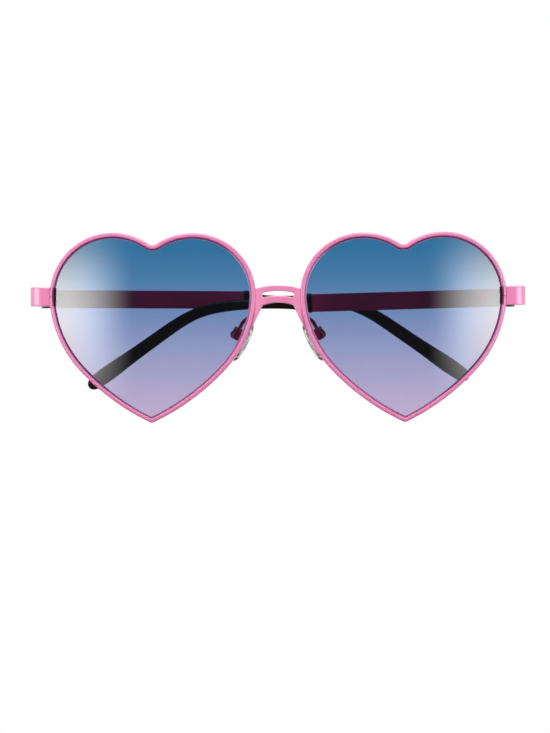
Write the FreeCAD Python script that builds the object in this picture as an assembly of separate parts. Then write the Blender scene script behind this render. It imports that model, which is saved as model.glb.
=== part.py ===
import FreeCAD, Part
import math
import os

# Heart shaped sunglasses: a painted metal frame with two heart shaped eyewires, temples folded.
# Millimetres. X runs along the front, +X to the wearer's left. The front looks along -Y, and Z is up.
# The origin is midway between the two lenses, at half their height, on the front of the eyewires.

Vector = FreeCAD.Vector
Rotation = FreeCAD.Rotation
Placement = FreeCAD.Placement

# Heart outline: the outer edge of the eyewire, half of it, as arcs that run into each other
lobe_offset = 11.7       # lobe centre from the heart's middle line
lobe_height = 9.1        # lobe centre above the heart's half height
lobe_radius = 18.55
side_radius = 33.5
flank_radius = 70.0
side_start = -5.0        # degrees: direction in which the lobe passes into the side
flank_start = -43.0      # degrees: direction in which the side passes into the flank
notch_radius = 2.4
lens_tip_radius = 0.45
heart_half_width = lobe_offset + lobe_radius

# Front
rim_gap = 13.6           # between the eyewires where they come nearest
wrap = 4.0               # degrees: each eye turned back on the temple side
heart_lean = 0.5         # degrees: heart tips turned outwards
base_radius = 130.0      # curve of the lenses and the eyewires
eye_spacing = 2 * heart_half_width + rim_gap

# Eyewires and lenses
eyewire_face = 1.3
eyewire_depth = 2.4
eyewire_edge = 0.5
groove_depth = 0.5
groove_width = 0.9
lens_thickness = 1.9
lens_bevel = 0.4
seat_clearance = 0.05
braze_gap = 0.02
tip_radius = lens_tip_radius + eyewire_face + seat_clearance

# Bridge
bridge_thickness = 1.3
bridge_setback = 0.2     # behind the eyewires' front
bridge_bow = 45.0        # radius of the plate seen from above
bridge_edge = 0.25
bridge_corner = 0.5
bridge_end_width = 1.9   # solid metal between an eyewire and the slot
upper_bar_top = 12.25
upper_bar_height = 1.65
bar_slot_height = 1.4
lower_bar_height = 2.05
bar_arch = 0.6           # rise of the bars between the ends of the slot
under_arch = 0.75        # rise of the lower bar's underside
leg_top_width = 2.1      # from the eyewire to the underside's corner
leg_bottom = -7.3
leg_foot = 0.6           # width of a leg at its lower end

# End pieces
joint_height = 9.1       # middle of the end piece, where the eyewire is slit
endpiece_reach = 5.6     # from the eyewire's outer side to the outer face
endpiece_height = 5.6
endpiece_thickness = 1.2
endpiece_bend = 3.0
endpiece_edge = 0.3
endpiece_setback = 0.15

# Closing blocks and lock screws
rim_slit = 0.16
block_width = 2.6
block_height = 2.5
jaw_reach = 0.7
jaw_front = 0.9          # behind the eyewire's front
lock_radius = 0.6
lock_head_radius = 1.05
lock_head_height = 0.75
lock_thread_length = 2.0

# Hinges
hinge_setback = 5.7      # axis behind the end piece's front
hinge_inset = 3.9        # axis inside the outer face
hinge_height = 8.5
barrel_radius = 1.1
barrel_height = 4.3
knuckle_gap = 0.08
leaf_thickness = 1.0
temple_leaf_length = 6.5
temple_leaf_height = 4.2
hinge_screw_radius = 0.6
hinge_head_radius = 0.8
hinge_head_height = 0.6
hinge_head_recess = 0.05
thread_fit = 0.02
running_fit = 0.05
barrel_room = 0.4        # closing blocks to the barrel
stop_gap = 0.25          # end piece to temple bar when open
screw_slot_width = 0.3
screw_slot_depth = 0.3

# Temples
bar_height = 5.2
bar_thickness = 1.1
bar_edge = 0.2
shoulder_length = 4.5    # where the tail narrows inside the tip
tail_step = 0.25         # bar's end stands out this far all round its tail
tail_height = 1.6
tail_margin = 8.0        # tail's end short of the tip's end
temple_length = 131.1
drop_length = 40.1       # from the corner of the ear bend to the tip's end
bend_angle = 34.0
bend_radius = 33.0
left_fold = 91.2         # degrees: the left temple lies nearest the lenses
right_fold = 88.8
left_droop = 1.45        # degrees: how far each temple hangs in its hinge
right_droop = 0.5

# Temple tips
tip_wall = 0.25          # over the bar's edges at the mouth
tip_side_wall = 0.45     # over the bar's faces at the mouth
tip_neck_height = 3.05
tip_neck_thickness = 2.2
tip_end_height = 4.2
tip_end_thickness = 2.8
tip_corner = 0.42        # share of the thickness that is rounded off at each corner
tip_taper = 7.0          # mouth to neck
neck_length = 15.4       # straight stretch between the taper and the ear bend
tip_round = 3.0          # length of the rounded end

# Nose pads
pad_length = 13.0
pad_width = 6.4
pad_thickness = 2.0
pad_round = 0.85
pad_flat = 0.3           # thinnest band left between the rounded edges
pad_aside = 10.6         # pad's middle from the middle of the nose
pad_back = 9.2
pad_height = -4.75
pad_tilt = 28.0          # degrees: lower ends apart
pad_splay = 22.0         # degrees: rear edges apart
pivot_out = 3.0          # pad screw from the pad's middle, away from the nose
pivot_up = 1.3
core_length = 8.0
core_width = 3.6
core_thickness = 0.7
tab_radius = 1.15
tab_thickness = 1.0
core_clearance = 0.02

# Pad boxes, screws and arms
ear_radius = 1.3
ear_thickness = 0.75
ear_gap = 0.1
box_half_width = 1.0
box_base = 0.9
base_gap = 0.25
pad_screw_radius = 0.5
pad_head_radius = 0.9
pad_head_height = 0.5
arm_radius = 0.55
arm_root_height = 3.3
arm_run_back = 2.9
arm_rise = 0.4
arm_drop = 2.0
arm_bend = 1.1

# Room left around a cutting tool
tool_margin = 5.0


def direction(degrees):
    """Unit vector in the XZ plane."""
    return Vector(math.cos(math.radians(degrees)), 0, math.sin(math.radians(degrees)))


def angle_of(vector):
    """Direction of a vector in the XZ plane, in degrees."""
    return math.degrees(math.atan2(vector.z, vector.x))


# Arc centres of the heart outline
lobe_centre = Vector(lobe_offset, 0, lobe_height)
side_centre = lobe_centre + direction(side_start) * (lobe_radius - side_radius)
flank_centre = side_centre + direction(flank_start) * (side_radius - flank_radius)
notch_rise = math.sqrt((lobe_radius + notch_radius) ** 2 - lobe_offset ** 2)
notch_centre = Vector(0, 0, lobe_height + notch_rise)
tip_drop = math.sqrt((flank_radius - tip_radius) ** 2 - flank_centre.x ** 2)
tip_centre = Vector(0, 0, flank_centre.z - tip_drop)
notch_direction = angle_of(notch_centre - lobe_centre)
tip_direction = angle_of(tip_centre - flank_centre)


def arc(centre, radius, first, last, hand=1):
    """Arc between two directions about a centre; hand -1 gives its mirror image."""
    points = []
    for degrees in (first, (first + last) / 2, last):
        point = centre + direction(degrees) * radius
        points.append(Vector(hand * point.x, 0, point.z))
    return Part.Arc(*points).toShape()


def heart_wire(grow):
    """Closed heart outline, grown outwards by the given amount."""
    edges = [
        arc(tip_centre, tip_radius + grow, tip_direction, -180 - tip_direction),
        arc(notch_centre, notch_radius - grow, notch_direction - 180, -notch_direction),
    ]
    for hand in (1, -1):
        edges.append(arc(lobe_centre, lobe_radius + grow, notch_direction, side_start, hand))
        edges.append(arc(side_centre, side_radius + grow, side_start, flank_start, hand))
        edges.append(arc(flank_centre, flank_radius + grow, flank_start, tip_direction, hand))
    return Part.Wire(Part.__sortEdges__(edges))


def heart_width_at(height):
    """Half width of the heart outline at a height below the lobes' tops."""
    if height > (lobe_centre + direction(side_start) * lobe_radius).z:
        centre, radius = lobe_centre, lobe_radius
    elif height > (side_centre + direction(flank_start) * side_radius).z:
        centre, radius = side_centre, side_radius
    else:
        centre, radius = flank_centre, flank_radius
    return centre.x + math.sqrt(radius ** 2 - (height - centre.z) ** 2)


def front_sag(x, z):
    """How far the curved front lies behind its foremost point."""
    return base_radius - math.sqrt(base_radius ** 2 - x ** 2 - z ** 2)


heart_top = lobe_height + lobe_radius
deepest_sag = front_sag(heart_half_width, heart_top) + eyewire_depth + tool_margin


def heart_prism(grow):
    """Heart outline drawn through the whole depth of the front."""
    face = Part.Face(heart_wire(grow))
    face.translate(Vector(0, -tool_margin, 0))
    return face.extrude(Vector(0, deepest_sag + 2 * tool_margin, 0))


def dome(depth):
    """Ball whose surface lies this far behind the front of the eyewire."""
    return Part.makeSphere(base_radius - depth, Vector(0, base_radius, 0))


def heart_layer(grow, front, back):
    """Curved heart shaped plate between two depths."""
    return heart_prism(grow).common(dome(front)).cut(dome(back))


# Place of the wearer's left eye; the right one is its mirror image
eye_place = Placement(Vector(eye_spacing / 2, 0, 0),
                      Rotation(Vector(0, 0, 1), wrap).multiply(Rotation(Vector(0, 1, 0), -heart_lean)))


def on_eye(shape):
    """Move a shape from the heart's own frame to the wearer's left eye."""
    moved = shape.copy()
    moved.Placement = eye_place.multiply(moved.Placement)
    return moved


def on_front(x, z):
    """Place of a point of the eyewire's front that is given in the heart's own frame."""
    return eye_place.multVec(Vector(x, front_sag(x, z), z))


def mirrored(shape):
    """The same shape on the other side of the nose."""
    return shape.mirror(Vector(0, 0, 0), Vector(1, 0, 0))


def box(x_range, y_range, z_range):
    """Box between three pairs of limits."""
    size = [limits[1] - limits[0] for limits in (x_range, y_range, z_range)]
    return Part.makeBox(*size, Vector(x_range[0], y_range[0], z_range[0]))


def rod(radius, bottom, length, axis=Vector(0, 0, 1)):
    """Cylinder from a point along an axis."""
    return Part.makeCylinder(radius, length, bottom, axis)


def edges_where(shape, test):
    """Edges whose two ends and middle all pass a test."""
    found = []
    for edge in shape.Edges:
        first, last = edge.ParameterRange
        points = [edge.valueAt(first + (last - first) * share) for share in (0, 0.5, 1)]
        if all(test(point) for point in points):
            found.append(edge)
    return found


def on_dome(depth):
    """Test for points on one of the domes."""
    centre = Vector(0, base_radius, 0)
    return lambda point: abs((point - centre).Length - (base_radius - depth)) < 1e-4


# Where the end piece meets the eyewire
rim_side = on_front(heart_half_width, lobe_height)
outer_face = rim_side.x + endpiece_reach
endpiece_front = rim_side.y + endpiece_setback
endpiece_back = endpiece_front + endpiece_thickness
hinge = Vector(outer_face - hinge_inset, endpiece_front + hinge_setback, hinge_height)
block_back = hinge.y - barrel_radius - barrel_room
lock_axis = Vector(rim_side.x + block_width / 2, (endpiece_back + block_back) / 2, 0)
block_bottom = joint_height - rim_slit / 2 - block_height
block_top = joint_height + rim_slit / 2 + block_height
beside_rim = (rim_side.x - 2 * tool_margin, rim_side.x + 2 * tool_margin)
through_front = (-2 * tool_margin, 4 * tool_margin)


def outward_of(distance):
    """All that lies on the temple side of a plane this far outside the eyewire's outer side."""
    start = heart_half_width + distance
    return on_eye(box((start, start + 4 * tool_margin), through_front,
                      (block_bottom - tool_margin, block_top + tool_margin)))


def eyewire():
    """Grooved rim, slit where the closing blocks pull it tight."""
    ring = heart_layer(0, 0, eyewire_depth).cut(heart_prism(-eyewire_face))
    edges = edges_where(ring, on_dome(0)) + edges_where(ring, on_dome(eyewire_depth))
    ring = ring.makeFillet(eyewire_edge, edges)
    groove_front = (eyewire_depth - groove_width) / 2
    ring = ring.cut(heart_layer(groove_depth - eyewire_face, groove_front, groove_front + groove_width))
    slit = (joint_height - rim_slit / 2, joint_height + rim_slit / 2)
    return on_eye(ring).cut(box(beside_rim, through_front, slit))


def lens():
    """Curved lens with a tongue for the groove and a flat for the closing blocks' jaws."""
    front = (eyewire_depth - lens_thickness) / 2
    body = heart_layer(-eyewire_face - seat_clearance, front, front + lens_thickness)
    edges = edges_where(body, on_dome(front)) + edges_where(body, on_dome(front + lens_thickness))
    body = body.makeChamfer(lens_bevel, edges)
    tongue_width = groove_width - 2 * seat_clearance
    tongue_front = (eyewire_depth - tongue_width) / 2
    tongue_grow = groove_depth - eyewire_face - seat_clearance
    tongue = heart_layer(tongue_grow, tongue_front, tongue_front + tongue_width)
    body = on_eye(body.fuse(tongue))
    beyond_jaw = outward_of(-eyewire_face - jaw_reach - seat_clearance)
    flat = (block_bottom - seat_clearance, block_top + seat_clearance)
    return body.cut(beyond_jaw.common(box(beside_rim, through_front, flat)))


def closing_block(bottom, top):
    """Half of the clamp that closes the eyewire: it hooks round the wire's back to the lens."""
    width = outward_of(-eyewire_face - jaw_reach).cut(outward_of(block_width))
    slab = width.common(box(beside_rim, (rim_side.y, block_back), (bottom, top)))
    beside = slab.cut(on_eye(heart_prism(braze_gap)))
    beside = beside.common(box(beside_rim, (endpiece_back + braze_gap, block_back), (bottom, top)))
    behind = slab.common(on_eye(dome(eyewire_depth + braze_gap)))
    jaw = slab.common(on_eye(heart_prism(-eyewire_face - seat_clearance))).common(on_eye(dome(jaw_front)))
    return beside.fuse([behind, jaw]).removeSplitter()


def upper_block():
    """Threaded half of the clamp."""
    block = closing_block(joint_height + rim_slit / 2, block_top)
    hole = rod(lock_radius + thread_fit, lock_axis + Vector(0, 0, joint_height), lock_thread_length)
    return block.cut(hole)


def lower_block():
    """Plain half of the clamp."""
    block = closing_block(block_bottom, joint_height - rim_slit / 2)
    hole = rod(lock_radius + running_fit, lock_axis + Vector(0, 0, block_bottom), block_height)
    return block.cut(hole)


def screw(head_radius, head_height, shank_radius, shank_length):
    """Slotted screw along +Z with the underside of its head at the origin."""
    head = rod(head_radius, Vector(0, 0, -head_height), head_height)
    slot_half = screw_slot_width / 2
    slot = box((-head_radius, head_radius), (-slot_half, slot_half),
               (-head_height, -head_height + screw_slot_depth))
    return head.cut(slot).fuse(rod(shank_radius, Vector(0, 0, 0), shank_length)).removeSplitter()


def lock_screw():
    """Screw that pulls the two closing blocks together from below."""
    shank_length = block_height + rim_slit / 2 + lock_thread_length - running_fit
    shape = screw(lock_head_radius, lock_head_height, lock_radius, shank_length)
    shape.translate(lock_axis + Vector(0, 0, block_bottom))
    return shape


def endpiece():
    """Flat plate from the eyewire that bends back to the hinge."""
    start = rim_side.x - tool_margin
    end = hinge.y - stop_gap / 2
    inner_face = outer_face - endpiece_thickness
    bend_x = outer_face - endpiece_bend
    bend_y = endpiece_front + endpiece_bend
    inner_bend = endpiece_bend - endpiece_thickness
    half_chord = math.sqrt(0.5)
    corners = [
        Vector(start, endpiece_front, 0),
        Vector(bend_x, endpiece_front, 0),
        Vector(outer_face, bend_y, 0),
        Vector(outer_face, end, 0),
        Vector(inner_face, end, 0),
        Vector(inner_face, bend_y, 0),
        Vector(bend_x, endpiece_back, 0),
        Vector(start, endpiece_back, 0),
    ]
    outer_middle = Vector(bend_x + endpiece_bend * half_chord, bend_y - endpiece_bend * half_chord, 0)
    inner_middle = Vector(bend_x + inner_bend * half_chord, bend_y - inner_bend * half_chord, 0)
    edges = [
        Part.LineSegment(corners[0], corners[1]).toShape(),
        Part.Arc(corners[1], outer_middle, corners[2]).toShape(),
        Part.LineSegment(corners[2], corners[3]).toShape(),
        Part.LineSegment(corners[3], corners[4]).toShape(),
        Part.LineSegment(corners[4], corners[5]).toShape(),
        Part.Arc(corners[5], inner_middle, corners[6]).toShape(),
        Part.LineSegment(corners[6], corners[7]).toShape(),
        Part.LineSegment(corners[7], corners[0]).toShape(),
    ]
    plate = Part.Face(Part.Wire(edges)).extrude(Vector(0, 0, endpiece_height))
    rims = edges_where(plate, lambda p: abs(p.z) < 1e-6 or abs(p.z - endpiece_height) < 1e-6)
    plate = plate.makeFillet(endpiece_edge, rims)
    plate.translate(Vector(0, 0, joint_height - endpiece_height / 2))
    return plate.cut(on_eye(heart_prism(braze_gap)))


def bar_arc(half_width, middle, rise):
    """Arc across the bridge with its middle higher than its ends."""
    return Part.Arc(Vector(-half_width, 0, middle - rise), Vector(0, 0, middle),
                    Vector(half_width, 0, middle - rise)).toShape()


def lines(*points):
    """Straight edges through a row of points."""
    return [Part.LineSegment(first, last).toShape() for first, last in zip(points, points[1:])]


def bridge():
    """Stamped plate: two arched bars with a slot between them, and a leg down each eyewire."""
    nose_side = on_front(-heart_half_width, lobe_height)
    half_gap = nose_side.x
    slot_half = half_gap - bridge_end_width
    arch_half = half_gap - leg_top_width
    reach = half_gap + 2 * tool_margin
    slot_top = upper_bar_top - upper_bar_height
    slot_bottom = slot_top - bar_slot_height
    arch_top = slot_bottom - lower_bar_height
    arch_foot = arch_top - under_arch
    leg_end = on_front(-heart_width_at(leg_bottom), leg_bottom).x - leg_foot
    top = bar_arc(reach, upper_bar_top, bar_arch * (reach / slot_half) ** 2)
    arch = bar_arc(arch_half, arch_top, under_arch)
    outline = [top, arch]
    for hand in (1, -1):
        outline += lines(Vector(hand * arch_half, 0, arch_foot), Vector(hand * leg_end, 0, leg_bottom),
                         Vector(hand * reach, 0, leg_bottom),
                         Vector(hand * reach, 0, top.Vertexes[0].Z))
    slot = [bar_arc(slot_half, slot_top, bar_arch), bar_arc(slot_half, slot_bottom, bar_arch)]
    for hand in (1, -1):
        slot += lines(Vector(hand * slot_half, 0, slot_top - bar_arch),
                      Vector(hand * slot_half, 0, slot_bottom - bar_arch))
    face = Part.Face(Part.Wire(Part.__sortEdges__(outline)))
    face = face.cut(Part.Face(Part.Wire(Part.__sortEdges__(slot))))
    face.translate(Vector(0, -2 * tool_margin, 0))
    plate = face.extrude(Vector(0, 4 * tool_margin, 0))
    corners = [(slot_half, slot_top - bar_arch), (slot_half, slot_bottom - bar_arch),
               (arch_half, arch_foot), (leg_end, leg_bottom)]
    sharp = edges_where(plate, lambda p: any(math.hypot(abs(p.x) - x, p.z - z) < 1e-4 for x, z in corners))
    plate = plate.makeFillet(bridge_corner, sharp)
    front = nose_side.y + bridge_setback - half_gap ** 2 / (2 * bridge_bow)
    axis_foot = Vector(0, front + bridge_bow, leg_bottom - tool_margin)
    tall = upper_bar_top - leg_bottom + 2 * tool_margin
    plate = plate.common(rod(bridge_bow, axis_foot, tall))
    plate = plate.cut(rod(bridge_bow - bridge_thickness, axis_foot, tall))
    front_edges = edges_where(plate, lambda p: abs(math.hypot(p.x, p.y - axis_foot.y) - bridge_bow) < 1e-4)
    plate = plate.makeFillet(bridge_edge, front_edges)
    filled_eye = on_eye(heart_prism(braze_gap))
    return plate.cut(filled_eye).cut(mirrored(filled_eye))


knuckle_height = (barrel_height - 2 * knuckle_gap) / 3
barrel_bottom = -barrel_height / 2
middle_bottom = barrel_bottom + knuckle_height + knuckle_gap
top_bottom = middle_bottom + knuckle_height + knuckle_gap


def front_leaf():
    """Hinge leaf on the end piece: a foot and two knuckles, about the hinge axis."""
    foot_outer = hinge_inset - endpiece_thickness - braze_gap
    foot_inner = foot_outer - leaf_thickness
    foot_start = endpiece_bend - hinge_setback + running_fit
    leaf = box((foot_inner, foot_outer), (foot_start, -stop_gap / 2), (barrel_bottom, -barrel_bottom))
    for bottom in (barrel_bottom, top_bottom):
        leaf = leaf.fuse(rod(barrel_radius, Vector(0, 0, bottom), knuckle_height))
        leaf = leaf.fuse(box((0, foot_inner + running_fit), (-barrel_radius, -stop_gap / 2),
                             (bottom, bottom + knuckle_height)))
    leaf = leaf.cut(rod(hinge_screw_radius + thread_fit, Vector(0, 0, barrel_bottom), barrel_height))
    recess = hinge_head_height + hinge_head_recess
    leaf = leaf.cut(rod(hinge_head_radius + thread_fit, Vector(0, 0, -barrel_bottom - recess), recess))
    leaf = leaf.removeSplitter()
    leaf.translate(hinge)
    return leaf


def hinge_screw():
    """Pin of the hinge, its head sunk in the top knuckle."""
    length = barrel_height - hinge_head_height - hinge_head_recess
    shape = screw(hinge_head_radius, hinge_head_height, hinge_screw_radius, length)
    shape.rotate(Vector(0, 0, 0), Vector(1, 0, 0), 180)
    shape.translate(hinge + Vector(0, 0, -barrel_bottom - hinge_head_height - hinge_head_recess))
    return shape


# Temples are drawn open, straight back from the hinge axis at the origin, then folded
bar_outer = hinge_inset
bar_inner = bar_outer - bar_thickness
bar_middle = (bar_outer + bar_inner) / 2
bend_place = temple_length - drop_length
straight_length = bend_place - bend_radius * math.tan(math.radians(bend_angle / 2))
bend_length = bend_radius * math.radians(bend_angle)
bend_end = straight_length + bend_length
tip_start = straight_length - neck_length - tip_taper


def temple_frame(distance):
    """Point on the temple's middle line and its downward angle, at a distance from the hinge."""
    if distance <= straight_length:
        return Vector(bar_middle, distance, 0), 0.0
    turned = min(distance - straight_length, bend_length) / bend_radius
    point = Vector(bar_middle, straight_length + bend_radius * math.sin(turned),
                   bend_radius * (math.cos(turned) - 1))
    beyond = max(distance - straight_length - bend_length, 0)
    point += Vector(0, math.cos(turned), -math.sin(turned)) * beyond
    return point, math.degrees(turned)


def beside_line(distance, up):
    """Point above or below the temple's middle line."""
    point, turned = temple_frame(distance)
    lean = math.radians(turned)
    return point + Vector(0, math.sin(lean), math.cos(lean)) * up


def temple_tail(grow):
    """Flat tail that runs down the inside of the tip, grown all round for the tip's bore."""
    half_root = bar_height / 2 - tail_step + grow
    half_tail = tail_height / 2 + grow
    tail_end = temple_length - tail_margin
    edges = lines(Vector(bar_middle, tip_start, -half_root), Vector(bar_middle, tip_start, half_root))
    for hand in (1, -1):
        edges += lines(Vector(bar_middle, tip_start, hand * half_root),
                       Vector(bar_middle, tip_start + shoulder_length + grow, hand * half_tail),
                       beside_line(straight_length, hand * half_tail))
        bend_points = [beside_line(straight_length + bend_length * share, hand * half_tail)
                       for share in (0, 0.5, 1)]
        edges.append(Part.Arc(*bend_points).toShape())
        edges += lines(beside_line(bend_end, hand * half_tail), beside_line(tail_end, hand * half_tail))
    edges.append(Part.Arc(beside_line(tail_end, half_tail), beside_line(tail_end + half_tail, 0),
                          beside_line(tail_end, -half_tail)).toShape())
    face = Part.Face(Part.Wire(Part.__sortEdges__(edges)))
    thickness = bar_thickness - 2 * tail_step + 2 * grow
    face.translate(Vector(-thickness / 2, 0, 0))
    return face.extrude(Vector(thickness, 0, 0))


def temple_bar():
    """Flat bar with rounded edges, and the tail that its tip goes on."""
    bar = box((bar_inner, bar_outer), (stop_gap / 2, tip_start), (-bar_height / 2, bar_height / 2))
    edges = edges_where(bar, lambda p: abs(abs(p.x - bar_middle) - bar_thickness / 2) < 1e-6)
    return bar.makeFillet(bar_edge, edges).fuse(temple_tail(0)).removeSplitter()


def tip_section(distance, height, thickness):
    """Rounded rectangle square to the temple's middle line."""
    corner = tip_corner * min(thickness, height)
    half_x = thickness / 2
    half_z = height / 2
    pull = corner * (1 - math.sqrt(0.5))
    edges = []
    for sign_x, sign_z in ((1, 1), (-1, 1), (-1, -1), (1, -1)):
        x = sign_x * half_x
        z = sign_z * half_z
        across = Vector(x - sign_x * corner, 0, z)
        along = Vector(x, 0, z - sign_z * corner)
        middle = Vector(x - sign_x * pull, 0, z - sign_z * pull)
        edges.append(Part.Arc(along, middle, across).toShape())
    inner_x = half_x - corner
    inner_z = half_z - corner
    for hand in (1, -1):
        edges += lines(Vector(-inner_x, 0, hand * half_z), Vector(inner_x, 0, hand * half_z))
        edges += lines(Vector(hand * half_x, 0, -inner_z), Vector(hand * half_x, 0, inner_z))
    section = Part.Wire(Part.__sortEdges__(edges))
    point, turned = temple_frame(distance)
    section.Placement = Placement(point, Rotation(Vector(1, 0, 0), -turned))
    return section


def blend(first, last, share):
    """Sizes on the way from one section to another, starting and ending gently."""
    gentle = share * share * (3 - 2 * share)
    return [low + (high - low) * gentle for low, high in zip(first, last)]


def temple_tip():
    """Sleeve over the bar's tail: full height at the mouth, a slim neck, and a paddle behind the ear."""
    mouth = (bar_height + 2 * tip_wall, bar_thickness + 2 * tip_side_wall)
    neck = (tip_neck_height, tip_neck_thickness)
    paddle = (tip_end_height, tip_end_thickness)
    swelling = temple_length - tip_round - straight_length
    sections = []
    for share in (0, 0.25, 0.5, 0.75, 1):
        sections.append((tip_start + seat_clearance + tip_taper * share, *blend(mouth, neck, share)))
    for share in (0, 0.25, 0.5, 0.75):
        sections.append((straight_length + swelling * share, *blend(neck, paddle, share)))
    for degrees in (0, 35, 58, 76):
        turned = math.radians(degrees)
        place = temple_length - tip_round * (1 - math.sin(turned))
        sections.append((place, tip_end_height * math.cos(turned), tip_end_thickness * math.cos(turned)))
    sleeve = Part.makeLoft([tip_section(*section) for section in sections], True, False)
    return sleeve.cut(temple_tail(seat_clearance))


def temple_leaf():
    """Hinge leaf on the bar's inner face: a foot with a rounded end and the middle knuckle."""
    foot_outer = bar_inner - braze_gap
    foot_inner = foot_outer - leaf_thickness
    half = temple_leaf_height / 2
    foot_end = temple_leaf_length - half
    foot = box((foot_inner, foot_outer), (stop_gap, foot_end), (-half, half))
    foot = foot.fuse(rod(half, Vector(foot_inner, foot_end, 0), leaf_thickness, Vector(1, 0, 0)))
    knuckle = rod(barrel_radius, Vector(0, 0, middle_bottom), knuckle_height)
    web = box((0, foot_inner + running_fit), (stop_gap / 2, barrel_radius),
              (middle_bottom, middle_bottom + knuckle_height))
    leaf = foot.fuse([knuckle, web])
    leaf = leaf.cut(rod(hinge_screw_radius + running_fit, Vector(0, 0, middle_bottom), knuckle_height))
    return leaf.removeSplitter()


def folded(shape, fold, droop):
    """Let a temple piece that was drawn open hang in the left hinge, then fold it."""
    moved = shape.copy()
    moved.rotate(Vector(0, 0, 0), Vector(1, 0, 0), -droop)
    moved.rotate(Vector(0, 0, 0), Vector(0, 0, 1), fold)
    moved.translate(hinge)
    return moved


# Nose pads are drawn upright: X away from the nose, Y backwards, then turned to the nose's sides
pad_place = Placement(Vector(pad_aside, pad_back, pad_height),
                      Rotation(Vector(0, 1, 0), -pad_tilt).multiply(Rotation(Vector(0, 0, 1), -pad_splay)))
pivot = Vector(pivot_out, 0, pivot_up)
ear_inner = tab_thickness / 2 + ear_gap
ear_outer = ear_inner + ear_thickness
base_bottom = pivot_up + tab_radius + base_gap
base_top = base_bottom + box_base
backwards = Vector(0, 1, 0)


def on_pad(shape):
    """Move a shape from the pad's own frame to the left side of the nose."""
    moved = shape.copy()
    moved.Placement = pad_place.multiply(moved.Placement)
    return moved


def oval_plate(length, width, thickness):
    """Upright oval plate about the pad's middle."""
    oval = Part.Ellipse(Vector(0, 0, 0), length / 2, width / 2).toShape()
    oval.Placement = Placement(Vector(-thickness / 2, 0, 0), Rotation(Vector(0, 0, 1), Vector(1, 0, 0)))
    return Part.Face(Part.Wire(oval)).extrude(Vector(thickness, 0, 0))


def core_solid(grow):
    """Oval insert and the neck that comes out of the pad, grown all round for the pad's hollow."""
    plate = oval_plate(core_length + 2 * grow, core_width + 2 * grow, core_thickness + 2 * grow)
    half = tab_thickness / 2 + grow
    neck = box((0, pivot_out), (-half, half), (pivot_up - tab_radius - grow, pivot_up + tab_radius + grow))
    return plate.fuse(neck)


def pad_core():
    """Stiff insert with the eye that the pad screw goes through."""
    eye = rod(tab_radius, pivot - backwards * (tab_thickness / 2), tab_thickness, backwards)
    hole_start = pivot - backwards * tab_thickness
    hole = rod(pad_screw_radius + running_fit, hole_start, 2 * tab_thickness, backwards)
    return core_solid(0).fuse(eye).cut(hole).removeSplitter()


def nose_pad():
    """Soft oval pad moulded round the insert."""
    pad = oval_plate(pad_length, pad_width, pad_thickness)
    edges = edges_where(pad, lambda p: abs(abs(p.x) - pad_thickness / 2) < 1e-6)
    rounding = min(pad_round, (pad_thickness - pad_flat) / 2)
    return pad.makeFillet(rounding, edges).cut(core_solid(core_clearance))


def pad_box():
    """Holder with two round ears and a base that the arm runs into."""
    width = (pivot_out - box_half_width, pivot_out + box_half_width)
    shape = box(width, (-ear_outer, ear_outer), (base_bottom, base_top))
    for start in (-ear_outer, ear_inner):
        ear = rod(ear_radius, pivot + backwards * start, ear_thickness, backwards)
        web = box(width, (start, start + ear_thickness), (pivot_up, base_bottom))
        shape = shape.fuse([ear, web])
    hole = rod(pad_screw_radius + thread_fit, pivot - backwards * ear_outer, 2 * ear_outer, backwards)
    return shape.cut(hole).removeSplitter()


def pad_screw():
    """Screw through the ears from the front."""
    shape = screw(pad_head_radius, pad_head_height, pad_screw_radius, 2 * ear_outer)
    shape.Placement = Placement(pivot - backwards * ear_outer, Rotation(Vector(0, 0, 1), backwards))
    return shape


def rounded_path(points, radius):
    """Straight runs joined by tangent arcs."""
    edges = []
    start = points[0]
    for before, corner, after in zip(points, points[1:], points[2:]):
        towards = (before - corner).normalize()
        away = (after - corner).normalize()
        half_turn = towards.getAngle(away) / 2
        reach = radius / math.tan(half_turn)
        bisector = (towards + away).normalize()
        centre = corner + bisector * (radius / math.sin(half_turn))
        edges += lines(start, corner + towards * reach)
        edges.append(Part.Arc(corner + towards * reach, centre - bisector * radius,
                              corner + away * reach).toShape())
        start = corner + away * reach
    return Part.Wire(edges + lines(start, points[-1]))


def pad_arm():
    """Wire from the back of the eyewire to the pad box."""
    root_x = -heart_width_at(arm_root_height) + eyewire_face / 2
    root_sag = front_sag(root_x, arm_root_height)
    root = eye_place.multVec(Vector(root_x, root_sag + eyewire_depth / 2, arm_root_height))
    back = eye_place.multVec(Vector(root_x, root_sag + eyewire_depth, arm_root_height))
    foot = pad_place.multVec(Vector(pivot_out, 0, base_top + braze_gap))
    upwards = pad_place.Rotation.multVec(Vector(0, 0, 1))
    points = [root, back + Vector(0, arm_run_back, arm_rise), foot + upwards * arm_drop, foot]
    path = rounded_path(points, arm_bend)
    section = Part.Wire(Part.Circle(root, points[1] - root, arm_radius).toShape())
    wire = path.makePipeShell([section], True, True)
    ring = on_eye(heart_prism(braze_gap)).cut(on_eye(heart_prism(-eyewire_face - braze_gap)))
    return wire.cut(ring.cut(on_eye(dome(eyewire_depth + braze_gap))))


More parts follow.
